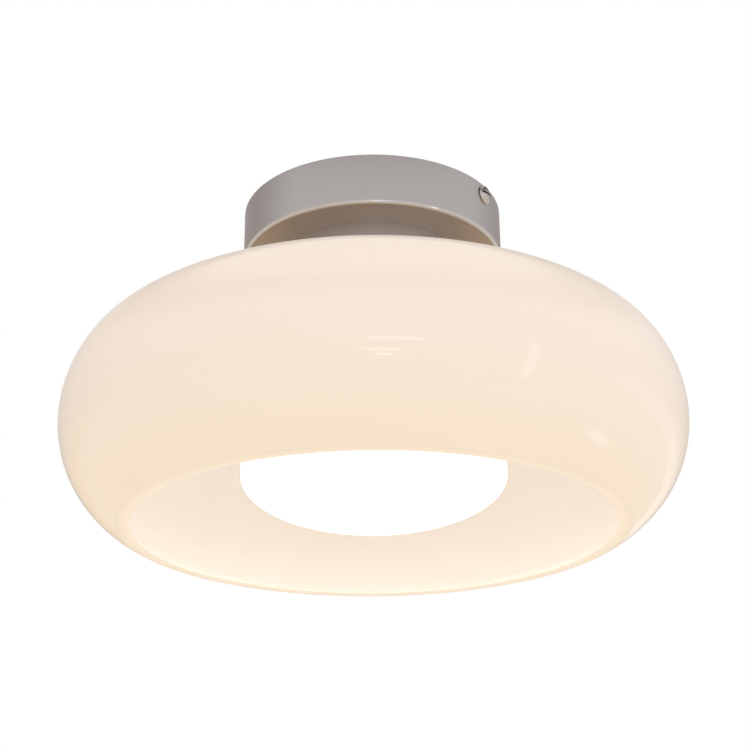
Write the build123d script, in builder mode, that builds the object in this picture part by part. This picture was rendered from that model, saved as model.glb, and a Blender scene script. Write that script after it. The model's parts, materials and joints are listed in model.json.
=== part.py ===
# Glass ceiling light: an opal glass shade clamped under a round metal canopy, with a saucer lamp inside.
# Millimetres, +Z up. The origin is the middle of the ceiling plane and the light hangs below it.
# X runs along the ceiling bracket, through the two side screws of the canopy.
import os
from math import asin, cos, degrees, radians, sin, sqrt

from build123d import *

os.makedirs("parts", exist_ok=True)

# Fits
thread_gap = 0.05          # between a thread's plain cylinder and its hole
loose_gap = 0.15           # round a screw that passes through
seat_gap = 0.1             # behind a turning head, and ahead of the lamp's tip
slip_gap = 0.2             # round pieces that drop into a pocket

# Canopy
canopy_radius = 65.0
canopy_height = 26.0
canopy_wall = 1.0
canopy_corner = 2.5

# Side screws that hold the canopy to the bracket
side_screw_radius = 2.0
side_screw_level = -5.4
side_screw_head_radius = 4.8
side_screw_head_height = 2.4
side_screw_reach = 5.0     # thread past the bracket's tab
side_screw_slot = 1.0      # width of the driver slot
side_screw_slot_depth = 1.2

# Ceiling bracket
bracket_width = 20.0
bracket_thickness = 1.5
bracket_bend = 1.5         # inner radius of the turned-down tabs
bracket_tab_drop = 12.0
bracket_boss_radius = 4.0
bracket_boss_length = 2.0
ceiling_slot_spacing = 84.0
ceiling_slot_length = 16.0
ceiling_slot_width = 4.5

# Terminal block under the bracket
block_length = 18.0
block_width = 20.0
block_height = 13.0
block_offset = 18.0        # from the axis to the block's middle
block_edge = 1.0
pole_pitch = 10.0
pole_depth = 6.0           # from the bracket to the poles
sleeve_radius = 2.6
sleeve_bore = 1.5
sleeve_inset = 1.5         # sleeve's end below the block's face
clamp_screw_pitch = 9.0
clamp_screw_radius = 1.2
clamp_screw_head_radius = 1.6
clamp_screw_head_height = 2.6
block_screw_radius = 1.5
block_screw_head_radius = 2.7
block_screw_head_height = 2.0

# Earth screw on the bracket
earth_offset = 18.0
earth_screw_radius = 2.0
earth_head_radius = 3.5
earth_head_height = 2.6
earth_washer_radius = 4.6
earth_washer_thickness = 1.0

# Hollow nipple, its washer and its nut
nipple_radius = 5.0
nipple_bore = 3.6
nipple_stand = 2.0         # above the nut
washer_radius = 9.0
washer_thickness = 1.0
nut_width = 14.0           # across flats
nut_height = 4.0

# Collar and the gasket between it and the glass
collar_radius = 46.0
collar_height = 35.6
collar_wall = 1.2
collar_corner = 1.0
collar_lip = 6.0           # width of the turned-in lower lip
gasket_thickness = 1.2
gasket_inset = 0.4         # gasket's edge inside the collar's edge

# Opal glass shade, from the flat crown out and down to the ground rim
shade_radius = 150.0
glass_wall = 3.0
crown_flat_radius = 48.0
shoulder_radius = 35.5
shoulder_angle = 73.6      # slope of the outward normal where the crown meets the shoulder
bulge_radius = 55.0
bulge_angle = 33.2         # slope of the outward normal where the shoulder meets the bulge
rim_drop = 48.6            # from the widest circle to the rim
rim_round = 0.25

# Lampholder
skirt_radius = 19.5
skirt_bore = 14.2
skirt_engagement = 8.0     # length of the skirt inside the cap
skirt_flange_thickness = 1.5
holder_height = 58.0
holder_cap_height = 23.5
holder_cap_wall = 2.2
holder_cap_corner = 3.0
holder_boss_radius = 8.0
holder_boss_length = 9.5
insert_radius = 17.0
insert_height = 11.0
insert_shoulder = 30.5     # from the holder's top to the insert's seat
screw_shell_wall = 0.4
screw_shell_length = 22.0
screw_shell_lip = 4.0
contact_width = 6.0
contact_thickness = 0.5
contact_drop = 2.2
holder_pole_pitch = 18.0
holder_screw_offset = 6.0  # terminal screw beside its wire
holder_screw_radius = 1.2
holder_screw_length = 5.0
holder_screw_head_radius = 2.2
holder_screw_head_height = 1.5

# Shade ring and the gasket above it
glass_hole_gap = 1.5       # round the skirt
shade_gasket_width = 6.5
shade_gasket_thickness = 1.5
shade_ring_flange = 2.5
shade_ring_hub_height = 5.5
shade_ring_hub_wall = 3.2
shade_ring_lugs = 8
shade_ring_lug_length = 4.0
shade_ring_lug_width = 3.0

# Wires inside the light
wire_radius = 1.0
wire_pitch = 3.2           # between the two wires in the nipple
wire_depth = 3.0           # of each wire in its lampholder terminal
wire_bends = (6.0, 3.2, 4.0, 3.0)

# Saucer lamp
lamp_cap_radius = 13.05
lamp_cap_wall = 0.4
lamp_cap_cone = 2.2        # height of the cone at the shell's top
lamp_tip_radius = 4.5
lamp_tip_height = 1.3
lamp_insulator_height = 5.0
lamp_insulator_top = 5.4
lamp_lead_radius = 0.45
lamp_mouth_gap = 0.8       # between the holder's mouth and the lamp's neck
lamp_radius = 63.5
lamp_neck_radius = 16.5
lamp_neck_height = 6.0
lamp_body_height = 45.7
lamp_flare_depth = 20.0    # from the neck to the corner of the flare
lamp_flare_radius = 25.0
lamp_wall = 2.0
lamp_rim_height = 8.0
spigot_wall = 1.8
spigot_height = 10.0
fin_count = 24
fin_thickness = 1.6
fin_setback = 4.0          # of the fins from the lamp's edge
dome_height = 21.2         # of the curved part
dome_band_height = 8.0     # of the straight band above it
dome_wall = 1.6
dome_spigot_height = 3.0
dome_spigot_wall = 1.4

# Lamp inside
board_gap = 1.0            # round the LED board
board_thickness = 1.6
board_level = 4.5          # LED board's lower face above the dome's seat
board_post_count = 3
board_post_circle = 44.0
board_post_radius = 3.2
board_screw_radius = 1.25
board_screw_length = 5.0
board_screw_head_radius = 2.4
board_screw_head_height = 1.4
chip_size = 3.0
chip_height = 0.8
chip_ring_step = 17.0
chip_ring_count = 3
first_ring_chip_count = 6
driver_width = 26.0
driver_height = 26.0
driver_thickness = 1.6
capacitor_radius = 4.5
capacitor_length = 14.0
transformer_size = 11.0
transformer_depth = 9.0

# Levels from the ceiling down
canopy_floor = -canopy_height
collar_top = canopy_floor
collar_bottom = collar_top - collar_height
glass_top = collar_bottom - gasket_thickness
glass_under = glass_top - glass_wall
shade_ring_top = glass_under - shade_gasket_thickness
holder_top = collar_top - collar_wall
holder_mouth = holder_top - holder_height
holder_cap_bottom = holder_top - holder_cap_height
insert_seat = holder_top - insert_shoulder
insert_top = insert_seat + insert_height
lamp_tip_level = insert_seat - contact_drop - contact_thickness - seat_gap
lamp_neck_top = holder_mouth - lamp_mouth_gap
lamp_neck_bottom = lamp_neck_top - lamp_neck_height
dome_seat = lamp_neck_top - lamp_body_height
lamp_rim_top = dome_seat + lamp_rim_height
pole_level = -bracket_thickness - pole_depth
block_bottom = -bracket_thickness - block_height
nut_bottom = canopy_floor + canopy_wall + washer_thickness
nut_top = nut_bottom + nut_height
nipple_top = nut_top + nipple_stand
nipple_bottom = holder_top - holder_boss_length + loose_gap

# Radii that follow from the fits
canopy_inner_radius = canopy_radius - canopy_wall
tab_outer = sqrt(canopy_inner_radius**2 - (bracket_width / 2) ** 2) - slip_gap
tab_inner = tab_outer - bracket_thickness
holder_cap_inner = skirt_radius + thread_gap
holder_cap_radius = holder_cap_inner + holder_cap_wall
screw_shell_inner = lamp_cap_radius + thread_gap
screw_shell_radius = screw_shell_inner + screw_shell_wall
skirt_pocket_radius = insert_radius + slip_gap
glass_hole_radius = skirt_radius + glass_hole_gap
shade_ring_bore = skirt_radius + thread_gap
shade_gasket_radius = glass_hole_radius + shade_gasket_width
shade_ring_hub_radius = shade_ring_bore + shade_ring_hub_wall


def on_arc(centre, radius, angle):
    return (centre[0] + radius * cos(radians(angle)), centre[1] + radius * sin(radians(angle)))


# Ceiling bracket: a bent strip with two slots, threaded bosses in its tabs and two threaded holes
with BuildPart() as ceiling_bracket:
    with BuildSketch(Plane.XZ):
        with BuildLine():
            outer_bend = FilletPolyline(
                (-tab_outer, -bracket_tab_drop),
                (-tab_outer, 0),
                (tab_outer, 0),
                (tab_outer, -bracket_tab_drop),
                radius=bracket_bend + bracket_thickness,
            )
            inner_bend = FilletPolyline(
                (-tab_inner, -bracket_tab_drop),
                (-tab_inner, -bracket_thickness),
                (tab_inner, -bracket_thickness),
                (tab_inner, -bracket_tab_drop),
                radius=bracket_bend,
            )
            Line(outer_bend @ 0, inner_bend @ 0)
            Line(outer_bend @ 1, inner_bend @ 1)
        make_face()
    extrude(amount=bracket_width / 2, both=True)
    for side in (1, -1):
        with BuildSketch(Plane(origin=(side * tab_inner, 0, side_screw_level), z_dir=(-side, 0, 0))):
            Circle(bracket_boss_radius)
        extrude(amount=bracket_boss_length)
    with BuildSketch(Plane.YZ):
        with Locations((0, side_screw_level)):
            Circle(side_screw_radius + thread_gap)
    extrude(amount=canopy_radius, both=True, mode=Mode.SUBTRACT)
    with BuildSketch(Plane.XY):
        with GridLocations(ceiling_slot_spacing, 0, 2, 1):
            SlotOverall(ceiling_slot_length, ceiling_slot_width)
        with Locations((-block_offset, 0)):
            Circle(block_screw_radius + thread_gap)
        with Locations((earth_offset, 0)):
            Circle(earth_screw_radius + thread_gap)
    extrude(amount=-bracket_thickness, mode=Mode.SUBTRACT)
ceiling_bracket.part.label = "ceiling_bracket"
export_step(ceiling_bracket.part, "parts/ceiling_bracket.step")

# Canopy: a drawn cup with a rolled lower corner, a hole for the nipple and two for the side screws
with BuildPart() as canopy:
    with BuildSketch(Plane.XY.offset(canopy_floor)):
        Circle(canopy_radius)
    extrude(amount=canopy_height)
    fillet(canopy.edges().group_by(Axis.Z)[0], canopy_corner)
    offset(amount=-canopy_wall, openings=canopy.faces().sort_by(Axis.Z)[-1])
    with BuildSketch(Plane.XY.offset(canopy_floor)):
        Circle(nipple_radius + loose_gap)
    extrude(amount=canopy_wall, mode=Mode.SUBTRACT)
    with BuildSketch(Plane.YZ):
        with Locations((0, side_screw_level)):
            Circle(side_screw_radius + loose_gap)
    extrude(amount=canopy_radius, both=True, mode=Mode.SUBTRACT)
canopy.part.label = "canopy"
export_step(canopy.part, "parts/canopy.step")

# Side screws: domed heads with a driver slot, one at each end of the bracket
for side, screw_name in ((1, "canopy_screw_right"), (-1, "canopy_screw_left")):
    head_seat = canopy_radius + seat_gap
    head_top = head_seat + side_screw_head_height
    screw_tip = tab_inner - side_screw_reach
    with BuildPart() as canopy_screw:
        with BuildSketch(Plane.XZ):
            with BuildLine():
                Polyline(
                    (side * head_top, side_screw_level),
                    (side * screw_tip, side_screw_level),
                    (side * screw_tip, side_screw_level + side_screw_radius),
                    (side * head_seat, side_screw_level + side_screw_radius),
                    (side * head_seat, side_screw_level + side_screw_head_radius),
                )
                EllipticalCenterArc(
                    (side * head_seat, side_screw_level),
                    side_screw_head_height,
                    side_screw_head_radius,
                    start_angle=45 - 45 * side,
                    arc_size=90,
                )
            make_face()
        revolve(axis=Axis((0, 0, side_screw_level), (1, 0, 0)))
        slot_origin = (side * head_top, 0, side_screw_level)
        with BuildSketch(Plane(origin=slot_origin, x_dir=(0, 1, 0), z_dir=(-side, 0, 0))):
            Rectangle(2 * side_screw_head_radius, side_screw_slot)
        extrude(amount=side_screw_slot_depth, mode=Mode.SUBTRACT)
    canopy_screw.part.label = screw_name
    export_step(canopy_screw.part, f"parts/{screw_name}.step")

# Terminal block: a moulded housing with two poles, screw wells and a counterbored fixing hole
clamp_spots = [(-block_offset + x, y) for x in (-clamp_screw_pitch / 2, clamp_screw_pitch / 2)
               for y in (-pole_pitch / 2, pole_pitch / 2)]
block_plane = Plane(origin=(-block_offset, 0, pole_level), x_dir=(0, 1, 0), z_dir=(1, 0, 0))
with BuildPart() as terminal_block:
    with BuildSketch(Plane.XY.offset(block_bottom)):
        with Locations((-block_offset, 0)):
            Rectangle(block_length, block_width)
    extrude(amount=block_height)
    fillet(terminal_block.edges().filter_by(Axis.Z), block_edge)
    with BuildSketch(block_plane):
        with GridLocations(pole_pitch, 0, 2, 1):
            Circle(sleeve_radius + thread_gap)
    extrude(amount=block_length / 2, both=True, mode=Mode.SUBTRACT)
    with BuildSketch(Plane.XY.offset(block_bottom)):
        with Locations(*clamp_spots):
            Circle(clamp_screw_head_radius + loose_gap)
    extrude(amount=pole_level - block_bottom, mode=Mode.SUBTRACT)
    with Locations(Plane(origin=(-block_offset, 0, block_bottom), z_dir=(0, 0, -1))):
        CounterBoreHole(
            radius=block_screw_radius + loose_gap,
            counter_bore_radius=block_screw_head_radius + loose_gap,
            counter_bore_depth=block_screw_head_height,
        )
terminal_block.part.label = "terminal_block"
export_step(terminal_block.part, "parts/terminal_block.step")

# Brass sleeves in the block's two poles
with BuildPart() as terminal_sleeves:
    with BuildSketch(block_plane):
        with GridLocations(pole_pitch, 0, 2, 1):
            Circle(sleeve_radius)
            Circle(sleeve_bore, mode=Mode.SUBTRACT)
    extrude(amount=block_length / 2 - sleeve_inset, both=True)
    with BuildSketch(Plane.XY.offset(block_bottom)):
        with Locations(*clamp_spots):
            Circle(clamp_screw_radius + thread_gap)
    extrude(amount=pole_level - block_bottom, mode=Mode.SUBTRACT)
terminal_sleeves.part.label = "terminal_sleeves"
export_step(terminal_sleeves.part, "parts/terminal_sleeves.step")

# Clamping screws: the pair next to the axis holds the light's own wires, the other pair stands open
clamp_head_top = pole_level - sleeve_radius - seat_gap
clamp_tip = pole_level - wire_radius - thread_gap
with BuildPart() as terminal_screws:
    with BuildSketch(Plane.XY.offset(clamp_head_top)):
        with Locations(*clamp_spots):
            Circle(clamp_screw_head_radius)
    extrude(amount=-clamp_screw_head_height)
    with BuildSketch(Plane.XY.offset(clamp_head_top)):
        with Locations(*clamp_spots):
            Circle(clamp_screw_radius)
    extrude(amount=clamp_tip - clamp_head_top)
terminal_screws.part.label = "terminal_screws"
export_step(terminal_screws.part, "parts/terminal_screws.step")

# Screw that holds the block to the bracket
with BuildPart() as block_screw:
    with BuildSketch(Plane.XY.offset(block_bottom)):
        with Locations((-block_offset, 0)):
            Circle(block_screw_head_radius)
    extrude(amount=block_screw_head_height)
    with BuildSketch(Plane.XY.offset(block_bottom)):
        with Locations((-block_offset, 0)):
            Circle(block_screw_radius)
    extrude(amount=block_height + bracket_thickness)
block_screw.part.label = "block_screw"
export_step(block_screw.part, "parts/block_screw.step")

# Earth screw with its cupped washer
earth_washer_bottom = -bracket_thickness - earth_washer_thickness
with BuildPart() as earth_washer:
    with BuildSketch(Plane.XY.offset(earth_washer_bottom)):
        with Locations((earth_offset, 0)):
            Circle(earth_washer_radius)
            Circle(earth_screw_radius + loose_gap, mode=Mode.SUBTRACT)
    extrude(amount=earth_washer_thickness)
earth_washer.part.label = "earth_washer"
export_step(earth_washer.part, "parts/earth_washer.step")

with BuildPart() as earth_screw:
    with BuildSketch(Plane.XY.offset(earth_washer_bottom)):
        with Locations((earth_offset, 0)):
            Circle(earth_head_radius)
    extrude(amount=-earth_head_height)
    with BuildSketch(Plane.XY.offset(earth_washer_bottom)):
        with Locations((earth_offset, 0)):
            Circle(earth_screw_radius)
    extrude(amount=earth_washer_thickness + bracket_thickness)
earth_screw.part.label = "earth_screw"
export_step(earth_screw.part, "parts/earth_screw.step")

# Hollow threaded nipple from the canopy into the lampholder
with BuildPart() as nipple:
    with BuildSketch(Plane.XY.offset(nipple_bottom)):
        Circle(nipple_radius)
        Circle(nipple_bore, mode=Mode.SUBTRACT)
    extrude(amount=nipple_top - nipple_bottom)
nipple.part.label = "nipple"
export_step(nipple.part, "parts/nipple.step")

with BuildPart() as lock_washer:
    with BuildSketch(Plane.XY.offset(canopy_floor + canopy_wall)):
        Circle(washer_radius)
        Circle(nipple_radius + loose_gap, mode=Mode.SUBTRACT)
    extrude(amount=washer_thickness)
lock_washer.part.label = "lock_washer"
export_step(lock_washer.part, "parts/lock_washer.step")

with BuildPart() as nipple_nut:
    with BuildSketch(Plane.XY.offset(nut_bottom)):
        RegularPolygon(nut_width / 2, 6, major_radius=False)
        Circle(nipple_radius + thread_gap, mode=Mode.SUBTRACT)
    extrude(amount=nut_height)
nipple_nut.part.label = "nipple_nut"
export_step(nipple_nut.part, "parts/nipple_nut.step")

# Collar: a spun cup under the canopy with a turned-in lip that bears on the glass
with BuildPart() as collar:
    with BuildSketch(Plane.XZ):
        with BuildLine():
            Polyline(
                (nipple_radius + loose_gap, collar_top),
                (collar_radius, collar_top),
                (collar_radius, collar_bottom),
                (collar_radius - collar_lip, collar_bottom),
                (collar_radius - collar_lip, collar_bottom + collar_wall),
                (collar_radius - collar_wall, collar_bottom + collar_wall),
                (collar_radius - collar_wall, collar_top - collar_wall),
                (nipple_radius + loose_gap, collar_top - collar_wall),
                close=True,
            )
        make_face()
    revolve(axis=Axis.Z)
    fillet(collar.edges().group_by(Axis.Z)[0].sort_by(SortBy.RADIUS)[-1], collar_corner)
collar.part.label = "collar"
export_step(collar.part, "parts/collar.step")

with BuildPart() as collar_gasket:
    with BuildSketch(Plane.XY.offset(glass_top)):
        Circle(collar_radius - gasket_inset)
        Circle(collar_radius - collar_lip, mode=Mode.SUBTRACT)
    extrude(amount=gasket_thickness)
collar_gasket.part.label = "collar_gasket"
export_step(collar_gasket.part, "parts/collar_gasket.step")

# Shade: tangent arcs for the crown, shoulder and bulge, one wall thick, cut flat at the rim
bulge_reach = shade_radius - bulge_radius
shoulder_out, shoulder_up = on_arc((bulge_reach, 0), bulge_radius - shoulder_radius, bulge_angle)
crown_radius = shoulder_radius + (shoulder_out - crown_flat_radius) / cos(radians(shoulder_angle))
crown_up = shoulder_up + (shoulder_radius - crown_radius) * sin(radians(shoulder_angle))
equator_level = glass_top - crown_up - crown_radius
bulge_centre = (bulge_reach, equator_level)
shoulder_centre = (shoulder_out, equator_level + shoulder_up)
crown_centre = (crown_flat_radius, equator_level + crown_up)
rim_angle_outside = -degrees(asin(rim_drop / bulge_radius))
rim_angle_inside = -degrees(asin(rim_drop / (bulge_radius - glass_wall)))
shoulder_sweep = bulge_angle - shoulder_angle
crown_sweep = shoulder_angle - 90
with BuildPart() as shade:
    with BuildSketch(Plane.XZ):
        with BuildLine():
            Line((glass_hole_radius, glass_top), (crown_flat_radius, glass_top))
            CenterArc(crown_centre, crown_radius, 90, crown_sweep)
            CenterArc(shoulder_centre, shoulder_radius, shoulder_angle, shoulder_sweep)
            outside = CenterArc(bulge_centre, bulge_radius, bulge_angle, rim_angle_outside - bulge_angle)
            inside_sweep = rim_angle_inside - bulge_angle
            inside = CenterArc(bulge_centre, bulge_radius - glass_wall, bulge_angle, inside_sweep)
            Line(outside @ 1, inside @ 1)
            CenterArc(shoulder_centre, shoulder_radius - glass_wall, shoulder_angle, shoulder_sweep)
            CenterArc(crown_centre, crown_radius - glass_wall, 90, crown_sweep)
            Line((crown_flat_radius, glass_under), (glass_hole_radius, glass_under))
            Line((glass_hole_radius, glass_under), (glass_hole_radius, glass_top))
        make_face()
    revolve(axis=Axis.Z)
    fillet(shade.edges().filter_by(GeomType.CIRCLE).group_by(Axis.Z)[0], rim_round)
shade.part.label = "shade"
export_step(shade.part, "parts/shade.step")

with BuildPart() as shade_gasket:
    with BuildSketch(Plane.XY.offset(shade_ring_top)):
        Circle(shade_gasket_radius)
        Circle(glass_hole_radius, mode=Mode.SUBTRACT)
    extrude(amount=shade_gasket_thickness)
shade_gasket.part.label = "shade_gasket"
export_step(shade_gasket.part, "parts/shade_gasket.step")

# Shade ring: a threaded flange with grip lugs round its hub
with BuildPart() as shade_ring:
    with BuildSketch(Plane.XY.offset(shade_ring_top)):
        Circle(shade_gasket_radius)
    extrude(amount=-shade_ring_flange)
    with BuildSketch(Plane.XY.offset(shade_ring_top - shade_ring_flange)):
        Circle(shade_ring_hub_radius)
        with PolarLocations(shade_ring_hub_radius, shade_ring_lugs):
            Rectangle(2 * shade_ring_lug_length, shade_ring_lug_width)
    extrude(amount=-shade_ring_hub_height)
    with BuildSketch(Plane.XY.offset(shade_ring_top)):
        Circle(shade_ring_bore)
    extrude(amount=-shade_ring_flange - shade_ring_hub_height, mode=Mode.SUBTRACT)
shade_ring.part.label = "shade_ring"
export_step(shade_ring.part, "parts/shade_ring.step")

# Lampholder cap: a domed cup with a threaded boss for the nipple
with BuildPart() as lampholder_cap:
    with BuildSketch(Plane.XY.offset(holder_cap_bottom)):
        Circle(holder_cap_radius)
    extrude(amount=holder_cap_height)
    fillet(lampholder_cap.edges().group_by(Axis.Z)[-1], holder_cap_corner)
    with BuildSketch(Plane.XY.offset(holder_cap_bottom)):
        Circle(holder_cap_inner)
    extrude(amount=holder_cap_height - holder_cap_corner, mode=Mode.SUBTRACT)
    with BuildSketch(Plane.XY.offset(holder_top - holder_cap_corner)):
        Circle(holder_boss_radius)
    extrude(amount=holder_cap_corner - holder_boss_length)
    with BuildSketch(Plane.XY.offset(holder_top)):
        Circle(nipple_radius + thread_gap)
    extrude(amount=-holder_boss_length, mode=Mode.SUBTRACT)
lampholder_cap.part.label = "lampholder_cap"
export_step(lampholder_cap.part, "parts/lampholder_cap.step")

# Lampholder skirt: threaded outside, with a pocket for the insert and a bore for the screw shell
skirt_top = holder_cap_bottom + skirt_engagement
with BuildPart() as lampholder_skirt:
    with BuildSketch(Plane.XZ):
        with BuildLine():
            Polyline(
                (skirt_bore, holder_mouth),
                (skirt_radius, holder_mouth),
                (skirt_radius, holder_cap_bottom - skirt_flange_thickness),
                (holder_cap_radius, holder_cap_bottom - skirt_flange_thickness),
                (holder_cap_radius, holder_cap_bottom),
                (skirt_radius, holder_cap_bottom),
                (skirt_radius, skirt_top),
                (skirt_pocket_radius, skirt_top),
                (skirt_pocket_radius, insert_seat),
                (skirt_bore, insert_seat),
                close=True,
            )
        make_face()
    revolve(axis=Axis.Z)
lampholder_skirt.part.label = "lampholder_skirt"
export_step(lampholder_skirt.part, "parts/lampholder_skirt.step")

# Lampholder insert with blind holes for the two wires and their terminal screws
holder_wire_spots = [(0, -holder_pole_pitch / 2), (0, holder_pole_pitch / 2)]
holder_screw_spots = [(holder_screw_offset, y) for _, y in holder_wire_spots]
with BuildPart() as lampholder_insert:
    with BuildSketch(Plane.XY.offset(insert_seat)):
        Circle(insert_radius)
    extrude(amount=insert_height)
    with BuildSketch(Plane.XY.offset(insert_top)):
        with Locations(*holder_wire_spots):
            Circle(wire_radius + loose_gap)
    extrude(amount=-wire_depth, mode=Mode.SUBTRACT)
    with BuildSketch(Plane.XY.offset(insert_top)):
        with Locations(*holder_screw_spots):
            Circle(holder_screw_radius + thread_gap)
    extrude(amount=-holder_screw_length, mode=Mode.SUBTRACT)
lampholder_insert.part.label = "lampholder_insert"
export_step(lampholder_insert.part, "parts/lampholder_insert.step")

with BuildPart() as holder_terminal_screws:
    with BuildSketch(Plane.XY.offset(insert_top)):
        with Locations(*holder_screw_spots):
            Circle(holder_screw_head_radius)
    extrude(amount=holder_screw_head_height)
    with BuildSketch(Plane.XY.offset(insert_top)):
        with Locations(*holder_screw_spots):
            Circle(holder_screw_radius)
    extrude(amount=-holder_screw_length)
holder_terminal_screws.part.label = "holder_terminal_screws"
export_step(holder_terminal_screws.part, "parts/holder_terminal_screws.step")

# Brass screw shell under the insert
with BuildPart() as screw_shell:
    with BuildSketch(Plane.XZ):
        with BuildLine():
            Polyline(
                (screw_shell_radius - screw_shell_lip, insert_seat),
                (screw_shell_radius, insert_seat),
                (screw_shell_radius, insert_seat - screw_shell_length),
                (screw_shell_inner, insert_seat - screw_shell_length),
                (screw_shell_inner, insert_seat - screw_shell_wall),
                (screw_shell_radius - screw_shell_lip, insert_seat - screw_shell_wall),
                close=True,
            )
        make_face()
    revolve(axis=Axis.Z)
screw_shell.part.label = "screw_shell"
export_step(screw_shell.part, "parts/screw_shell.step")

# Sprung centre contact: a bent leaf from the insert to the lamp's tip
leaf_middle = insert_seat - contact_thickness / 2
with BuildPart() as centre_contact:
    with BuildLine() as leaf:
        FilletPolyline(
            (-lamp_tip_radius - contact_drop, 0, leaf_middle),
            (-lamp_tip_radius / 2, 0, leaf_middle),
            (-lamp_tip_radius / 2 + contact_drop, 0, leaf_middle - contact_drop),
            (lamp_tip_radius, 0, leaf_middle - contact_drop),
            radius=2 * contact_thickness,
        )
    with BuildSketch(Plane(origin=leaf.line @ 0, x_dir=(0, 1, 0), z_dir=leaf.line % 0)):
        Rectangle(contact_width, contact_thickness)
    sweep()
centre_contact.part.label = "centre_contact"
export_step(centre_contact.part, "parts/centre_contact.step")

# Wires: from the block's inner clamps over into the nipple, down it and out to the insert's terminals
wire_start = -block_offset + clamp_screw_pitch / 2 - clamp_screw_radius - wire_radius
wire_turn = -block_offset + block_length / 2 + 2 * wire_radius
wire_spread_top = holder_top - holder_boss_length - 2 * wire_radius
wire_spread_bottom = insert_top + 2 * wire_radius
for side, wire_name in ((1, "live_wire"), (-1, "neutral_wire")):
    block_y = side * pole_pitch / 2
    nipple_y = side * wire_pitch / 2
    holder_y = side * holder_pole_pitch / 2
    with BuildPart() as wire:
        with BuildLine() as wire_path:
            FilletPolyline(
                (wire_start, block_y, pole_level),
                (wire_turn, block_y, pole_level),
                (0, nipple_y, pole_level),
                (0, nipple_y, wire_spread_top),
                (0, holder_y, wire_spread_bottom),
                (0, holder_y, insert_top - wire_depth),
                radius=wire_bends,
            )
        with BuildSketch(Plane(origin=wire_path.line @ 0, z_dir=wire_path.line % 0)):
            Circle(wire_radius)
        sweep()
    wire.part.label = wire_name
    export_step(wire.part, f"parts/{wire_name}.step")

# Lamp cap: tip contact, insulator and metal shell
lamp_insulator_level = lamp_tip_level - lamp_tip_height
lamp_shell_top = lamp_insulator_level - lamp_insulator_height
lamp_shell_lip = lamp_cap_radius - lamp_cap_cone
with BuildPart() as lamp_tip_contact:
    with BuildSketch(Plane.XZ):
        with BuildLine():
            Polyline((0, lamp_tip_level), (0, lamp_insulator_level), (lamp_tip_radius, lamp_insulator_level))
            TangentArc((0, lamp_tip_level), (lamp_tip_radius, lamp_insulator_level), tangent=(1, 0))
        make_face()
    revolve(axis=Axis.Z)
lamp_tip_contact.part.label = "lamp_tip_contact"
export_step(lamp_tip_contact.part, "parts/lamp_tip_contact.step")

with BuildPart() as lamp_cap_insulator:
    with BuildSketch(Plane.XZ):
        with BuildLine():
            Polyline(
                (lamp_lead_radius + loose_gap, lamp_insulator_level),
                (lamp_insulator_top, lamp_insulator_level),
                (lamp_shell_lip, lamp_shell_top),
                (lamp_lead_radius + loose_gap, lamp_shell_top),
                close=True,
            )
        make_face()
    revolve(axis=Axis.Z)
lamp_cap_insulator.part.label = "lamp_cap_insulator"
export_step(lamp_cap_insulator.part, "parts/lamp_cap_insulator.step")

with BuildPart() as lamp_cap_shell:
    with BuildSketch(Plane.XZ):
        with BuildLine():
            Polyline(
                (lamp_shell_lip - lamp_cap_cone, lamp_shell_top),
                (lamp_shell_lip, lamp_shell_top),
                (lamp_cap_radius, lamp_shell_top - lamp_cap_cone),
                (lamp_cap_radius, lamp_neck_top),
                (lamp_cap_radius - lamp_cap_wall, lamp_neck_top),
                (lamp_cap_radius - lamp_cap_wall, lamp_shell_top - lamp_cap_cone),
                (lamp_shell_lip - lamp_cap_wall, lamp_shell_top - lamp_cap_wall),
                (lamp_shell_lip - lamp_cap_cone, lamp_shell_top - lamp_cap_wall),
                close=True,
            )
        make_face()
    revolve(axis=Axis.Z)
lamp_cap_shell.part.label = "lamp_cap_shell"
export_step(lamp_cap_shell.part, "parts/lamp_cap_shell.step")

# Lamp housing: a flared shell with radial cooling fins, a spigot in the cap and posts for the LED board
flare_corner = lamp_neck_bottom - lamp_flare_depth
flare_slope = (lamp_rim_top - flare_corner) / (lamp_radius - lamp_neck_radius)
# The bend takes no more of the neck's wall than the flare leaves it
flare_room = (lamp_flare_depth - thread_gap) * (sqrt(1 + flare_slope**2) - flare_slope)
flare_bend = min(lamp_flare_radius, flare_room)
spigot_radius = lamp_cap_radius - lamp_cap_wall - thread_gap
board_top = dome_seat + board_level + board_thickness


def flare_points(inset, reach):
    drop = inset * sqrt(1 + flare_slope**2)
    return [
        (lamp_neck_radius - inset, lamp_neck_bottom),
        (lamp_neck_radius - inset, flare_corner - inset * flare_slope - drop),
        (reach, flare_corner + (reach - lamp_neck_radius) * flare_slope - drop),
    ]


# One cooling fin, rooted in the middle of the housing's wall
with BuildPart() as fin:
    with BuildSketch(Plane.XZ):
        with BuildLine():
            fin_root = FilletPolyline(
                *flare_points(lamp_wall / 2, lamp_radius - fin_setback),
                radius=flare_bend + lamp_wall / 2,
            )
            Polyline(
                fin_root @ 1,
                (lamp_radius - fin_setback, lamp_rim_top + lamp_wall),
                (lamp_neck_radius, lamp_neck_bottom),
                fin_root @ 0,
            )
        make_face()
    extrude(amount=fin_thickness / 2, both=True)

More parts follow.
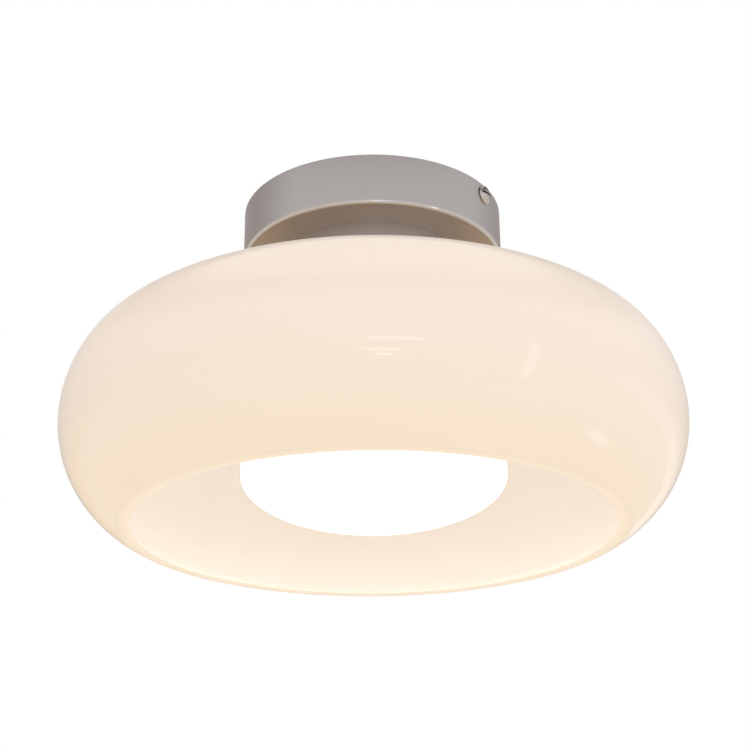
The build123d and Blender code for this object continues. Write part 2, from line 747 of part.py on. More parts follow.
with BuildPart() as lamp_housing:
    with BuildSketch(Plane.XZ):
        with BuildLine():
            outer_flare = FilletPolyline(*flare_points(0, lamp_radius), radius=flare_bend)
            inner_flare = FilletPolyline(
                *flare_points(lamp_wall, lamp_radius - lamp_wall),
                radius=flare_bend + lamp_wall,
            )
            Polyline(
                outer_flare @ 1,
                (lamp_radius, dome_seat),
                (lamp_radius - lamp_wall, dome_seat),
                inner_flare @ 1,
            )
            Polyline(
                inner_flare @ 0,
                (lamp_neck_radius - lamp_wall, lamp_neck_top - lamp_wall),
                (spigot_radius - spigot_wall, lamp_neck_top - lamp_wall),
                (spigot_radius - spigot_wall, lamp_neck_top + spigot_height),
                (spigot_radius, lamp_neck_top + spigot_height),
                (spigot_radius, lamp_neck_top),
                (lamp_neck_radius, lamp_neck_top),
                outer_flare @ 0,
            )
        make_face()
    revolve(axis=Axis.Z)
    with PolarLocations(0, fin_count):
        add(fin.part)
    with BuildSketch(Plane.XY.offset(board_top)):
        with PolarLocations(board_post_circle, board_post_count):
            Circle(board_post_radius)
    extrude(until=Until.NEXT)
    with BuildSketch(Plane.XY.offset(board_top)):
        with PolarLocations(board_post_circle, board_post_count):
            Circle(board_screw_radius + thread_gap)
    extrude(amount=board_screw_length - board_thickness, mode=Mode.SUBTRACT)
lamp_housing.part.label = "lamp_housing"
export_step(lamp_housing.part, "parts/lamp_housing.step")

# LED board, its chips in rings and the screws that hold it to the posts
board_radius = lamp_radius - lamp_wall - dome_spigot_wall - board_gap
board_bottom = dome_seat + board_level
with BuildPart() as led_board:
    with BuildSketch(Plane.XY.offset(board_bottom)):
        Circle(board_radius)
        with PolarLocations(board_post_circle, board_post_count):
            Circle(board_screw_radius + loose_gap, mode=Mode.SUBTRACT)
    extrude(amount=board_thickness)
led_board.part.label = "led_board"
export_step(led_board.part, "parts/led_board.step")

with BuildPart() as led_chips:
    with BuildSketch(Plane.XY.offset(board_bottom)):
        for ring in range(1, chip_ring_count + 1):
            ring_chips = ring * first_ring_chip_count
            with PolarLocations(ring * chip_ring_step, ring_chips, start_angle=180 / ring_chips):
                Rectangle(chip_size, chip_size)
    extrude(amount=-chip_height)
led_chips.part.label = "led_chips"
export_step(led_chips.part, "parts/led_chips.step")

with BuildPart() as board_screws:
    with BuildSketch(Plane.XY.offset(board_bottom)):
        with PolarLocations(board_post_circle, board_post_count):
            Circle(board_screw_head_radius)
    extrude(amount=-board_screw_head_height)
    with BuildSketch(Plane.XY.offset(board_bottom)):
        with PolarLocations(board_post_circle, board_post_count):
            Circle(board_screw_radius)
    extrude(amount=board_screw_length)
board_screws.part.label = "board_screws"
export_step(board_screws.part, "parts/board_screws.step")

# Driver: an upright board on the LED board, with a capacitor on one face and a transformer on the other
driver_top = board_top + driver_height
with BuildPart() as driver_board:
    with BuildSketch(Plane.XY.offset(board_top)):
        Rectangle(driver_width, driver_thickness)
    extrude(amount=driver_height)
driver_board.part.label = "driver_board"
export_step(driver_board.part, "parts/driver_board.step")

with BuildPart() as driver_capacitor:
    with BuildSketch(Plane.XY.offset(board_top)):
        with Locations((0, driver_thickness / 2 + capacitor_radius)):
            Circle(capacitor_radius)
    extrude(amount=capacitor_length)
driver_capacitor.part.label = "driver_capacitor"
export_step(driver_capacitor.part, "parts/driver_capacitor.step")

with BuildPart() as driver_transformer:
    with BuildSketch(Plane.XY.offset(board_top)):
        with Locations((0, -driver_thickness / 2 - transformer_depth / 2)):
            Rectangle(transformer_size, transformer_depth)
    extrude(amount=transformer_size)
driver_transformer.part.label = "driver_transformer"
export_step(driver_transformer.part, "parts/driver_transformer.step")

# Leads from the driver to the tip contact and to the side of the cap shell
lead_side = spigot_radius - spigot_wall - 2 * lamp_lead_radius
lead_end = lamp_cap_radius - lamp_cap_wall - lamp_lead_radius
lead_turn = lamp_neck_top + spigot_height + 2 * lamp_lead_radius
with BuildPart() as lamp_leads:
    with BuildSketch(Plane.XY.offset(driver_top)):
        Circle(lamp_lead_radius)
    extrude(amount=lamp_insulator_level - driver_top)
    with BuildLine() as side_lead:
        FilletPolyline(
            (lead_side, 0, driver_top),
            (lead_side, 0, lead_turn),
            (lead_end, 0, lead_turn + lead_end - lead_side),
            radius=2 * lamp_lead_radius,
        )
    with BuildSketch(Plane(origin=side_lead.line @ 0, z_dir=side_lead.line % 0)):
        Circle(lamp_lead_radius)
    sweep(path=side_lead.line)
lamp_leads.part.label = "lamp_leads"
export_step(lamp_leads.part, "parts/lamp_leads.step")

# Diffuser: a shallow opal dome under a straight band, with a spigot inside the housing's rim
dome_spigot_outer = lamp_radius - lamp_wall - thread_gap
dome_spigot_inner = dome_spigot_outer - dome_spigot_wall
dome_inner_height = dome_height - dome_wall
dome_equator = dome_seat - dome_band_height
with BuildPart() as diffuser:
    with BuildSketch(Plane.XZ):
        with BuildLine():
            EllipticalCenterArc((0, dome_equator), lamp_radius, dome_height, start_angle=270, arc_size=90)
            Polyline(
                (lamp_radius, dome_equator),
                (lamp_radius, dome_seat),
                (dome_spigot_outer, dome_seat),
                (dome_spigot_outer, dome_seat + dome_spigot_height),
                (dome_spigot_inner, dome_seat + dome_spigot_height),
                (dome_spigot_inner, dome_equator),
            )
            EllipticalCenterArc(
                (0, dome_equator), dome_spigot_inner, dome_inner_height, start_angle=270, arc_size=90
            )
            Line((0, dome_equator - dome_inner_height), (0, dome_equator - dome_height))
        make_face()
    revolve(axis=Axis.Z)
diffuser.part.label = "diffuser"
export_step(diffuser.part, "parts/diffuser.step")
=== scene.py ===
import json
import math
import bmesh
import bpy
from mathutils import Matrix, Vector


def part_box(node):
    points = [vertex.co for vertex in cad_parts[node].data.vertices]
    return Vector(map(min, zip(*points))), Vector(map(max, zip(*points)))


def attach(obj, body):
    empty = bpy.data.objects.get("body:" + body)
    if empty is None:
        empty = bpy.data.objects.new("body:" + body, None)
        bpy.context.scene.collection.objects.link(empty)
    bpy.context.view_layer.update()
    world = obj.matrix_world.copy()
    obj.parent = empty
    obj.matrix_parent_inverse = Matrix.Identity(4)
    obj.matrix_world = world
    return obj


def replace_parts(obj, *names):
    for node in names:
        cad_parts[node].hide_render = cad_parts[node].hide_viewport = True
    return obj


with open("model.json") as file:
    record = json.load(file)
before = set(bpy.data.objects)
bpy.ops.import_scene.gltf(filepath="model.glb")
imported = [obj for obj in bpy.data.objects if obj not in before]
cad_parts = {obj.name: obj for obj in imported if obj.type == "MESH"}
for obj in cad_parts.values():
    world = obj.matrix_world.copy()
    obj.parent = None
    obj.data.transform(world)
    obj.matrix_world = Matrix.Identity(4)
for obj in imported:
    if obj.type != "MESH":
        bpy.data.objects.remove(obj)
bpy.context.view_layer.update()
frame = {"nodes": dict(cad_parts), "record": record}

mm = 0.001
turn = 2 * math.pi
meshCare = dict(weld=0.005, sliver=0.0005, blankWeld=0.002)      # millimetres
sharpAngle = dict(plain=32, thread=50)      # degrees between faces, past which an edge is shaded sharp
nearlyStraight = 1.56      # half a corner's angle in radians, past which it isn't rounded
print("frame loaded:", len(frame["nodes"]), "CAD nodes")


# Small helpers

def hexColour(code):
    parts = [int(code[i:i + 2], 16) / 255 for i in (1, 3, 5)]
    return [c / 12.92 if c <= 0.04045 else ((c + 0.055) / 1.055) ** 2.4 for c in parts] + [1.0]


def addNode(tree, kind, inputs=None, **settings):
    node = tree.nodes.new(kind)
    for key, value in settings.items():
        setattr(node, key, value)
    for socket, value in (inputs or {}).items():
        if isinstance(value, bpy.types.NodeSocket):
            tree.links.new(value, node.inputs[socket])
        else:
            node.inputs[socket].default_value = value
    return node


def newTree(name, sockets):
    tree = bpy.data.node_groups.new(name, "GeometryNodeTree")
    tree.interface.new_socket(name="Geometry", in_out="INPUT", socket_type="NodeSocketGeometry")
    for label, kind, value in sockets:
        socket = tree.interface.new_socket(name=label, in_out="INPUT", socket_type="NodeSocket" + kind)
        if value is not None:
            socket.default_value = value
    tree.interface.new_socket(name="Geometry", in_out="OUTPUT", socket_type="NodeSocketGeometry")
    return tree, addNode(tree, "NodeGroupInput").outputs


def closeTree(tree, geometry, material):
    real = addNode(tree, "GeometryNodeRealizeInstances", {"Geometry": geometry})
    dressed = addNode(tree, "GeometryNodeSetMaterial", {"Geometry": real.outputs[0], "Material": material})
    return dressed.outputs[0]


def cleanMesh(mesh, sharp):
    work = bmesh.new()
    work.from_mesh(mesh)
    bmesh.ops.remove_doubles(work, verts=work.verts, dist=meshCare["weld"] * mm)
    bmesh.ops.dissolve_degenerate(work, edges=work.edges, dist=meshCare["sliver"] * mm)
    bmesh.ops.recalc_face_normals(work, faces=work.faces)
    for face in work.faces:
        face.smooth = True
    work.to_mesh(mesh)
    work.free()
    mesh.set_sharp_from_angle(angle=math.radians(sharp))


def linkObject(name, data):
    obj = bpy.data.objects.new(name, data)
    bpy.context.scene.collection.objects.link(obj)
    return obj


def bakeModifier(obj, modifier, sharp):
    bpy.context.view_layer.update()
    mesh = bpy.data.meshes.new_from_object(obj.evaluated_get(bpy.context.evaluated_depsgraph_get()))
    obj.modifiers.remove(modifier)
    obj.data = mesh
    mesh.name = obj.name
    cleanMesh(mesh, sharp)


def growMesh(name, base, tree, values, sharp=sharpAngle["plain"]):
    obj = linkObject(name, base)
    modifier = obj.modifiers.new(name, "NODES")
    modifier.node_group = tree
    for item in tree.interface.items_tree:
        if item.in_out == "INPUT" and item.name in values:
            modifier[item.identifier] = values[item.name]
    bakeModifier(obj, modifier, sharp)
    return obj


def wireLoop(name, points):
    mesh = bpy.data.meshes.new(name)
    edges = [(i, (i + 1) % len(points)) for i in range(len(points))]
    mesh.from_pydata([(radius * mm, 0, level * mm) for radius, level in points], edges, [])
    return mesh


def arcPoints(centre, radius, first, last, count):
    steps = [math.radians(first + (last - first) * i / (count - 1)) for i in range(count)]
    return [(centre[0] + radius * math.cos(a), centre[1] + radius * math.sin(a)) for a in steps]


def quarterTurn(count):
    return [math.pi / 2 * i / (count - 1) for i in range(count)]


# Corners are (radius, level, rounding), and each rounding becomes an arc of a few steps
def roundedLoop(corners, steps=7):
    points = []
    for i, (x, y, rounding) in enumerate(corners):
        here = Vector((x, y))
        back = (Vector(corners[i - 1][:2]) - here).normalized()
        ahead = (Vector(corners[(i + 1) % len(corners)][:2]) - here).normalized()
        half = back.angle(ahead) / 2
        if rounding <= 0 or half > nearlyStraight:
            points.append((x, y))
            continue
        reach = rounding / math.tan(half)
        centre = here + (back + ahead).normalized() * rounding / math.sin(half)
        start, end = here + back * reach - centre, here + ahead * reach - centre
        for step in range(steps):
            spot = centre + start.slerp(end, step / (steps - 1)) * rounding
            points.append((spot.x, spot.y))
    return points


def settle(obj, body, slot, *nodes):
    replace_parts(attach(obj, body), *nodes)


# Geometry Nodes trees

def buildTurnedTree():
    tree, source = newTree("TurnedPiece", [
        ("Steps", "Int", 128), ("Rail", "Float", 1 * mm), ("Thread Pitch", "Float", 1 * mm),
        ("Thread Depth", "Float", 0.0), ("Thread Radius", "Float", 0.0), ("Thread Low", "Float", -1.0),
        ("Thread High", "Float", 1.0), ("Edge Level", "Float", -10.0), ("Material", "Material", None),
        ("Edge Material", "Material", None)])
    # the profile stands in XZ, so it is laid into the plane that is swept round a small rail circle
    inset = addNode(tree, "ShaderNodeMath", {0: source["Rail"], 1: -1.0}, operation="MULTIPLY")
    shift = addNode(tree, "ShaderNodeCombineXYZ", {"X": inset.outputs[0]})
    profile = addNode(tree, "GeometryNodeMeshToCurve", {"Mesh": source["Geometry"]})
    laid = addNode(tree, "GeometryNodeTransform", {
        "Geometry": profile.outputs[0], "Translation": shift.outputs[0], "Rotation": (math.pi / 2, 0, 0)})
    rail = addNode(tree, "GeometryNodeCurvePrimitiveCircle", {
        "Resolution": source["Steps"], "Radius": source["Rail"]})
    swept = addNode(tree, "GeometryNodeCurveToMesh", {
        "Curve": rail.outputs["Curve"], "Profile Curve": laid.outputs[0]})
    # a V thread cut into the faces outside Thread Radius, running out at both ends
    place = addNode(tree, "GeometryNodeInputPosition").outputs[0]
    axes = addNode(tree, "ShaderNodeSeparateXYZ", {0: place}).outputs
    angle = addNode(tree, "ShaderNodeMath", {0: axes["Y"], 1: axes["X"]}, operation="ARCTAN2")
    lap = addNode(tree, "ShaderNodeMath", {0: angle.outputs[0], 1: turn}, operation="DIVIDE")
    climb = addNode(tree, "ShaderNodeMath", {0: axes["Z"], 1: source["Thread Pitch"]}, operation="DIVIDE")
    phase = addNode(tree, "ShaderNodeMath", {0: climb.outputs[0], 1: lap.outputs[0]}, operation="SUBTRACT")
    groove = addNode(tree, "ShaderNodeMath", {0: phase.outputs[0], 1: 0.5}, operation="PINGPONG")
    flat = addNode(tree, "ShaderNodeVectorMath", {0: place, 1: (1, 1, 0)}, operation="MULTIPLY")
    radius = addNode(tree, "ShaderNodeVectorMath", {0: flat.outputs[0]}, operation="LENGTH")
    outward = addNode(tree, "ShaderNodeVectorMath", {0: flat.outputs[0]}, operation="NORMALIZE")
    onFace = addNode(tree, "ShaderNodeMath", {
        0: radius.outputs["Value"], 1: source["Thread Radius"]}, operation="GREATER_THAN")
    lowEnd = addNode(tree, "ShaderNodeMath", {
        0: source["Thread Low"], 1: source["Thread Pitch"]}, operation="ADD")
    highEnd = addNode(tree, "ShaderNodeMath", {
        0: source["Thread High"], 1: source["Thread Pitch"]}, operation="SUBTRACT")
    enter = addNode(tree, "ShaderNodeMapRange", {
        "Value": axes["Z"], "From Min": source["Thread Low"], "From Max": lowEnd.outputs[0]})
    leave = addNode(tree, "ShaderNodeMapRange", {
        "Value": axes["Z"], "From Min": source["Thread High"], "From Max": highEnd.outputs[0]})
    fadeOut = addNode(tree, "ShaderNodeMath", {
        0: enter.outputs[0], 1: leave.outputs[0]}, operation="MULTIPLY")
    share = addNode(tree, "ShaderNodeMath", {
        0: fadeOut.outputs[0], 1: onFace.outputs[0]}, operation="MULTIPLY")
    cut = addNode(tree, "ShaderNodeMath", {0: groove.outputs[0], 1: share.outputs[0]}, operation="MULTIPLY")
    depth = addNode(tree, "ShaderNodeMath", {
        0: cut.outputs[0], 1: source["Thread Depth"]}, operation="MULTIPLY")
    inward = addNode(tree, "ShaderNodeMath", {0: depth.outputs[0], 1: -2.0}, operation="MULTIPLY")
    push = addNode(tree, "ShaderNodeVectorMath", {
        0: outward.outputs[0], "Scale": inward.outputs[0]}, operation="SCALE")
    threaded = addNode(tree, "GeometryNodeSetPosition", {
        "Geometry": swept.outputs[0], "Offset": push.outputs[0]})
    dressed = closeTree(tree, threaded.outputs[0], source["Material"])
    # a ground or cut edge below Edge Level gets its own finish
    belowEdge = addNode(tree, "ShaderNodeMath", {0: axes["Z"], 1: source["Edge Level"]}, operation="LESS_THAN")
    edged = addNode(tree, "GeometryNodeSetMaterial", {
        "Geometry": dressed, "Selection": belowEdge.outputs[0], "Material": source["Edge Material"]})
    addNode(tree, "NodeGroupOutput", {"Geometry": edged.outputs[0]})
    return tree


def buildRingTree():
    tree, source = newTree("RingOfCopies", [("Count", "Int", 8), ("Material", "Material", None)])
    points = addNode(tree, "GeometryNodePoints", {"Count": source["Count"]})
    index = addNode(tree, "GeometryNodeInputIndex")
    step = addNode(tree, "ShaderNodeMath", {0: turn, 1: source["Count"]}, operation="DIVIDE")
    angle = addNode(tree, "ShaderNodeMath", {0: index.outputs[0], 1: step.outputs[0]}, operation="MULTIPLY")
    spin = addNode(tree, "ShaderNodeCombineXYZ", {"Z": angle.outputs[0]})
    copies = addNode(tree, "GeometryNodeInstanceOnPoints", {
        "Points": points.outputs[0], "Instance": source["Geometry"], "Rotation": spin.outputs[0]})
    dressed = closeTree(tree, copies.outputs[0], source["Material"])
    addNode(tree, "NodeGroupOutput", {"Geometry": dressed})
    return tree


# A turned blank with its seams welded, ready to be cut
def weldedBlank(tree, turned, source, labels):
    blank = addNode(tree, "GeometryNodeGroup", {}, node_tree=turned)
    for label in labels:
        tree.links.new(source[label], blank.inputs[label])
    return addNode(tree, "GeometryNodeMergeByDistance", {
        "Geometry": blank.outputs[0], "Distance": meshCare["blankWeld"] * mm}).outputs[0]


def buildSlottedTree(turned):
    tree, source = newTree("SlottedScrew", [
        ("Steps", "Int", 96), ("Thread Pitch", "Float", 1 * mm), ("Thread Depth", "Float", 0.0),
        ("Thread Low", "Float", -1.0), ("Thread High", "Float", 1.0), ("Slot Length", "Float", 10 * mm),
        ("Slot Width", "Float", 1 * mm), ("Slot Depth", "Float", 1 * mm), ("Head Top", "Float", 0.0),
        ("Material", "Material", None)])
    tall = addNode(tree, "ShaderNodeMath", {0: source["Slot Depth"], 1: 2.0}, operation="MULTIPLY")
    size = addNode(tree, "ShaderNodeCombineXYZ", {
        "X": source["Slot Length"], "Y": source["Slot Width"], "Z": tall.outputs[0]})
    cutter = addNode(tree, "GeometryNodeMeshCube", {"Size": size.outputs[0]})
    lift = addNode(tree, "ShaderNodeCombineXYZ", {"Z": source["Head Top"]})
    placed = addNode(tree, "GeometryNodeTransform", {
        "Geometry": cutter.outputs[0], "Translation": lift.outputs[0]})
    blank = weldedBlank(tree, turned, source, (
        "Geometry", "Steps", "Thread Pitch", "Thread Depth", "Thread Low", "Thread High", "Material"))
    slotted = addNode(tree, "GeometryNodeMeshBoolean", {
        "Mesh 1": blank, "Mesh 2": placed.outputs[0]}, operation="DIFFERENCE", solver="EXACT")
    dressed = closeTree(tree, slotted.outputs[0], source["Material"])
    addNode(tree, "NodeGroupOutput", {"Geometry": dressed})
    return tree


def buildHexTree(turned):
    tree, source = newTree("HexNut", [
        ("Steps", "Int", 96), ("Corner Radius", "Float", 8 * mm), ("Height", "Float", 4 * mm),
        ("Middle", "Float", 0.0), ("Material", "Material", None)])
    blank = weldedBlank(tree, turned, source, ("Geometry", "Steps", "Material"))
    prism = addNode(tree, "GeometryNodeMeshCylinder", {
        "Vertices": 6, "Radius": source["Corner Radius"], "Depth": source["Height"]}, fill_type="NGON")
    lift = addNode(tree, "ShaderNodeCombineXYZ", {"Z": source["Middle"]})
    placed = addNode(tree, "GeometryNodeTransform", {
        "Geometry": prism.outputs[0], "Translation": lift.outputs[0]})
    common = addNode(tree, "GeometryNodeMeshBoolean", {}, operation="INTERSECT", solver="EXACT")
    for solid in (blank, placed.outputs[0]):
        tree.links.new(solid, common.inputs["Mesh 2"])
    dressed = closeTree(tree, common.outputs[0], source["Material"])
    addNode(tree, "NodeGroupOutput", {"Geometry": dressed})
    return tree


turnedTree = buildTurnedTree()
ringTree = buildRingTree()
slottedTree = buildSlottedTree(turnedTree)
hexTree = buildHexTree(turnedTree)
print("geometry trees built")


# Materials: grain, spun and relief are in millimetres, and glow is the light that a lit piece gives out: real on
# the lamp's diffuser, painted light on the glass
grainNoise = dict(detail=4.0, roughness=0.55, low=0.3, high=0.7, bump=0.4)      # mostly between low and high


def buildMaterial(name, look):
    material = bpy.data.materials.new(name)
    material.use_nodes = True
    tree = material.node_tree
    tree.nodes.clear()
    shader = addNode(tree, "ShaderNodeBsdfPrincipled", {
        "Metallic": look.get("metallic", 0.0), "IOR": look.get("ior", 1.5),
        "Subsurface Weight": look.get("scatter", 0.0), "Subsurface Scale": look.get("scatterDepth", 1) * mm})
    addNode(tree, "ShaderNodeOutputMaterial", {"Surface": shader.outputs[0]})
    place = addNode(tree, "ShaderNodeTexCoord").outputs["Object"]
    axes = addNode(tree, "ShaderNodeSeparateXYZ", {0: place}).outputs
    flat = addNode(tree, "ShaderNodeVectorMath", {0: place, 1: (1, 1, 0)}, operation="MULTIPLY")
    radius = addNode(tree, "ShaderNodeVectorMath", {0: flat.outputs[0]}, operation="LENGTH").outputs["Value"]
    grainPlace = place
    if look.get("spun"):      # lines run round the axis, as a lathe leaves them
        angle = addNode(tree, "ShaderNodeMath", {0: axes["Y"], 1: axes["X"]}, operation="ARCTAN2")
        slow = addNode(tree, "ShaderNodeMath", {
            0: angle.outputs[0], 1: look["spun"] * mm}, operation="MULTIPLY")
        grainPlace = addNode(tree, "ShaderNodeCombineXYZ", {
            "X": slow.outputs[0], "Y": radius, "Z": axes["Z"]}).outputs[0]
    grain = addNode(tree, "ShaderNodeTexNoise", {
        "Vector": grainPlace, "Scale": 1 / (look["grain"] * mm), "Detail": grainNoise["detail"],
        "Roughness": grainNoise["roughness"]})
    tint = addNode(tree, "ShaderNodeMix", {
        "Factor": grain.outputs[0], 6: hexColour(look["base"]), 7: hexColour(look["shift"])}, data_type="RGBA")
    tree.links.new(tint.outputs[2], shader.inputs["Base Color"])
    gloss = addNode(tree, "ShaderNodeMapRange", {
        "Value": grain.outputs[0], "From Min": grainNoise["low"], "From Max": grainNoise["high"],
        "To Min": look["roughness"][0], "To Max": look["roughness"][1]})
    tree.links.new(gloss.outputs[0], shader.inputs["Roughness"])
    if look.get("relief"):
        bump = addNode(tree, "ShaderNodeBump", {
            "Strength": grainNoise["bump"], "Distance": look["relief"] * mm, "Height": grain.outputs[0]})
        tree.links.new(bump.outputs[0], shader.inputs["Normal"])
    if look.get("evenGlow"):
        shader.inputs["Emission Color"].default_value = hexColour(look["evenGlow"])
    if look.get("glow"):      # by height, or by radius
        first, last = look["glowLevels"]
        level = addNode(tree, "ShaderNodeMapRange", {
            "Value": radius if look.get("glowByRadius") else axes["Z"],
            "From Min": first * mm, "From Max": last * mm})
        ramp = addNode(tree, "ShaderNodeValToRGB", {"Fac": level.outputs[0]})
        ramp.color_ramp.interpolation = "B_SPLINE"
        while len(ramp.color_ramp.elements) < len(look["glow"]):
            ramp.color_ramp.elements.new(0.5)
        for element, (spot, code) in zip(ramp.color_ramp.elements, look["glow"]):
            element.position = spot
            element.color = hexColour(code)
        tree.links.new(ramp.outputs["Color"], shader.inputs["Emission Color"])
    shader.inputs["Emission Strength"].default_value = look.get("glowStrength", 0.0)
    return material


# Real turning lines on plate lie some 0.05 mm apart, too fine to show, so they are drawn ten times as coarse
looks = {
    # spun steel with a satin nickel-chrome plate: soft grey reflections, hair-fine turning lines
    "satinChrome": dict(base="#CFCAC8", shift="#C8C3C1", metallic=1.0, roughness=(0.2, 0.25), grain=0.5, spun=3),
    # the same plate on the flat underside, as a shaded copy: its darker, browner base is painted shade and painted
    # reflection of the glass, and it is rougher, so reflections run together
    "turnedChrome": dict(base="#C4B8AB", shift="#BAAEA2", metallic=1.0, roughness=(0.42, 0.5), grain=0.5, spun=3),
    # the rolled corner: a glossier copy of the plate, whose brighter base is a painted highlight
    "buffedChrome": dict(base="#D6D4D3", shift="#CFCDCC", metallic=1.0, roughness=(0.1, 0.14), grain=0.5, spun=3),
    # the collar's plate is duller and a shade cooler
    "dullChrome": dict(base="#D3D3D8", shift="#C9C9CE", metallic=1.0, roughness=(0.38, 0.44), grain=0.5, spun=3),
    # the plate in a narrow slot, painted dark as the slot's shade, and it hardly shines
    "thinChrome": dict(base="#5A5552", shift="#4E4A47", metallic=1.0, roughness=(0.5, 0.6), grain=0.5),
    # bright zinc on pressed steel: cool grey with pale spangle
    "zincSteel": dict(base="#B4B8BC", shift="#8E959B", metallic=1.0, roughness=(0.28, 0.45), grain=6),
    # turned brass, bare: warm yellow with a soft shine
    "brass": dict(base="#C9A55A", shift="#B18E45", metallic=1.0, roughness=(0.2, 0.34), grain=1.5),
    # opal glass, fire polished: cream body with a wet shine; its glow is painted light from the lamp inside, set
    # by height, with painted shade darker towards the rim and at the crown under the collar
    "opalGlass": dict(base="#F8EEE4", shift="#F7ECE0", roughness=(0.05, 0.08), ior=1.52, grain=60,
                      glow=[(0.0, "#9E865E"), (0.4, "#A9A096"), (0.88, "#E4D5C9"), (0.95, "#E2CDB9"),
                            (0.985, "#967545")],
                      glowLevels=(-166, -62), glowStrength=0.52),
    # the same glass from inside, as a lit copy: its whiter base and its glow are painted lamp light, brightest
    # near the rim and darker higher up
    "opalInside": dict(base="#FCF9F5", shift="#FBF6F0", roughness=(0.06, 0.1), ior=1.52, grain=60,
                       glow=[(0.0, "#FFF2E2"), (0.14, "#F2E6DE"), (0.4, "#CFC0AE"), (0.95, "#E0D4C8")],
                       glowLevels=(-166, -62), glowStrength=0.155),
    # opal glass ground flat at the rim: matt, with a painted glow for the light that runs along the wall and a
    # painted shade line at its inner edge;
    # its grit is under 0.1 mm and is drawn coarser to show
    "groundGlass": dict(base="#F8EEE2", shift="#F6EADC", roughness=(0.35, 0.5), ior=1.52, grain=0.6,
                        glow=[(0.0, "#5E4E38"), (0.15, "#F0DAB0"), (0.45, "#DCC8A0"), (1.0, "#B8A47E")],
                        glowLevels=(113.5, 120.75), glowByRadius=True, glowStrength=0.32),
    # opal polycarbonate, moulded, over the LEDs: evenly white, a little warmer at its edge
    "litDiffuser": dict(base="#F7F4EE", shift="#F2EEE6", roughness=(0.4, 0.5), ior=1.58, grain=4,
                        glow=[(0.0, "#FFFCF6"), (0.8, "#FFFAF2"), (1.0, "#FFF4E4")],
                        glowLevels=(-161, -129), glowStrength=2.2),
    # powder-coated aluminium: soft white with an orange-peel skin
    "whiteEnamel": dict(base="#F1EFEA", shift="#E6E3DC", roughness=(0.35, 0.5), grain=1.2, relief=0.05),
    # natural nylon moulding: milky, waxy
    "naturalNylon": dict(base="#ECE7D8", shift="#DFD8C5", roughness=(0.35, 0.5), ior=1.53, grain=5,
                         scatter=0.3, scatterDepth=2),
    # black thermoset moulding: hard, with a low sheen
    "blackThermoset": dict(base="#17181A", shift="#232427", roughness=(0.3, 0.48), ior=1.55, grain=2,
                           relief=0.03),
    # glazed porcelain: clean white with a glassy skin
    "porcelain": dict(base="#F0EEE8", shift="#E4E0D6", roughness=(0.12, 0.22), ior=1.5, grain=6),
    # moulded silicone rubber, left clear: dull, greyish white
    "siliconeRubber": dict(base="#DAD6CC", shift="#CBC6BA", roughness=(0.55, 0.7), ior=1.41, grain=1.5,
                           relief=0.02),
    # extruded PVC on the live and the neutral wire: even colour, half matt
    "brownInsulation": dict(base="#5A3420", shift="#6B4129", roughness=(0.35, 0.5), ior=1.53, grain=3),
    "blueInsulation": dict(base="#1F4F9E", shift="#2B62B6", roughness=(0.35, 0.5), ior=1.53, grain=3),
    # solder, set from the melt: bright grey with a frosty bloom
    "solder": dict(base="#B9BCC0", shift="#9DA1A6", metallic=1.0, roughness=(0.25, 0.4), grain=1),
    # black glass, melted into the cap: deep and glossy
    "blackGlass": dict(base="#0E0E10", shift="#18181B", roughness=(0.08, 0.16), ior=1.52, grain=3),
    # drawn nickel-plated brass: warm grey, fairly bright
    "nickelShell": dict(base="#C4C0B8", shift="#AFAAA1", metallic=1.0, roughness=(0.18, 0.3), grain=1, spun=3),
    # glass-fibre board with white solder mask: flat white with a faint gloss
    "circuitBoard": dict(base="#F2F2EE", shift="#E8E8E2", roughness=(0.3, 0.45), ior=1.5, grain=3),
    # phosphor in cast silicone: chalky yellow
    "ledPhosphor": dict(base="#F3D86B", shift="#EAC94E", roughness=(0.4, 0.55), ior=1.45, grain=0.8),
    # shrunk PVC sleeve on the capacitor: dark blue, tight and smooth
    "capacitorSleeve": dict(base="#16202E", shift="#1E2B3D", roughness=(0.25, 0.4), ior=1.5, grain=2),
    # polyester tape wound on the transformer: yellow with a slight shine
    "transformerTape": dict(base="#D9B53A", shift="#C7A22B", roughness=(0.3, 0.45), ior=1.5, grain=2),
    # tinned copper wire, drawn: pale grey
    "tinnedCopper": dict(base="#C6C3BC", shift="#B3AFA6", metallic=1.0, roughness=(0.25, 0.38), grain=0.6),
}
finish = {name: buildMaterial(name, look) for name, look in looks.items()}
print("materials built:", len(finish))


def turnPiece(name, loop, steps, look, extra=None, sharp=sharpAngle["plain"]):
    values = {"Steps": steps, "Material": finish[look], "Edge Material": finish[look], **(extra or {})}
    return growMesh(name, wireLoop(name + "_profile", loop), turnedTree, values, sharp)


def addFinish(obj, look, chosen):
    obj.data.materials.append(finish[look])
    for face in obj.data.polygons:
        if chosen(face):
            face.material_index = len(obj.data.materials) - 1


# Canopy: a drawn cup, rolled at its lower corner
canopy = dict(radius=65.0, wall=1.0, depth=26.0, corner=1.8, bore=5.15, boreEdge=0.1, edge=0.2, faceSkin=0.05,
              rollTilt=(-0.98, -0.03), cornerSteps=14, steps=192)
canopyInner, canopyFloor = canopy["radius"] - canopy["wall"], -canopy["depth"]
canopyFace = (canopyFloor + canopy["faceSkin"]) * mm      # what lies lower is the flat underside
canopyLoop = roundedLoop([
    (canopy["radius"], 0, canopy["edge"]), (canopy["radius"], canopyFloor, canopy["corner"]),
    (canopy["bore"], canopyFloor, canopy["boreEdge"]),
    (canopy["bore"], canopyFloor + canopy["wall"], canopy["boreEdge"]),
    (canopyInner, canopyFloor + canopy["wall"], canopy["corner"] - canopy["wall"]),
    (canopyInner, 0, canopy["edge"])], canopy["cornerSteps"])
